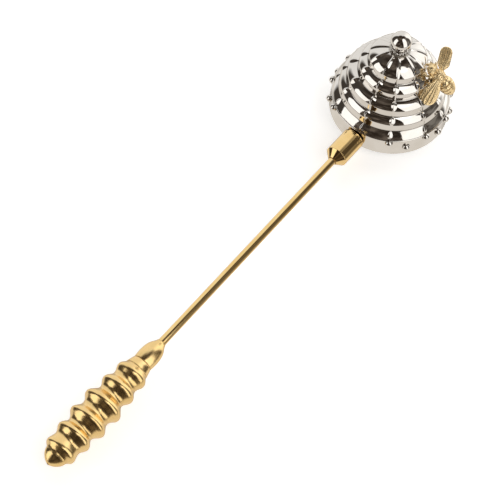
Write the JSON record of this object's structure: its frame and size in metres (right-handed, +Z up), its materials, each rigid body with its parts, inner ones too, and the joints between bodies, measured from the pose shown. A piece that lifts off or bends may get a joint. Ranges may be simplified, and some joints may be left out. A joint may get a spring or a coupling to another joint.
{
  "type": "candle snuffer",
  "caption": "Hand-held candle snuffer: a stepped, ribbed beehive cup with a bee on its side and a ball on top, on a long round rod with a ridged grip.",
  "frame": {"origin": "centre of the cup's mouth, in the plane of its rim", "axes": "+Z up the cup's axis from mouth to ball, +X out along the handle"},
  "size_m": [0.227, 0.051, 0.0487],
  "materials": {
    "nickel": "polished nickel plate",
    "brass": "polished",
    "cast_brass": "polished casting with darker recesses",
    "inner_hardware": "plain machined"
  },
  "bodies": {
    "root": {"hive_shell": "nickel", "rim_band": "nickel", "rim_studs_upper": "nickel", "rim_studs_lower": "nickel", "finial_ball": "nickel", "finial_collar": "nickel", "finial_washer": "inner_hardware", "finial_nut": "inner_hardware", "bee_body": "cast_brass", "bee_wing_left": "cast_brass", "bee_wing_right": "cast_brass", "bee_washer": "inner_hardware", "bee_nut": "inner_hardware", "ferrule": "brass", "ferrule_screw": "inner_hardware", "handle_rod": "brass", "grip_neck": "brass", "grip": "brass"}
  },
  "joints": []
}
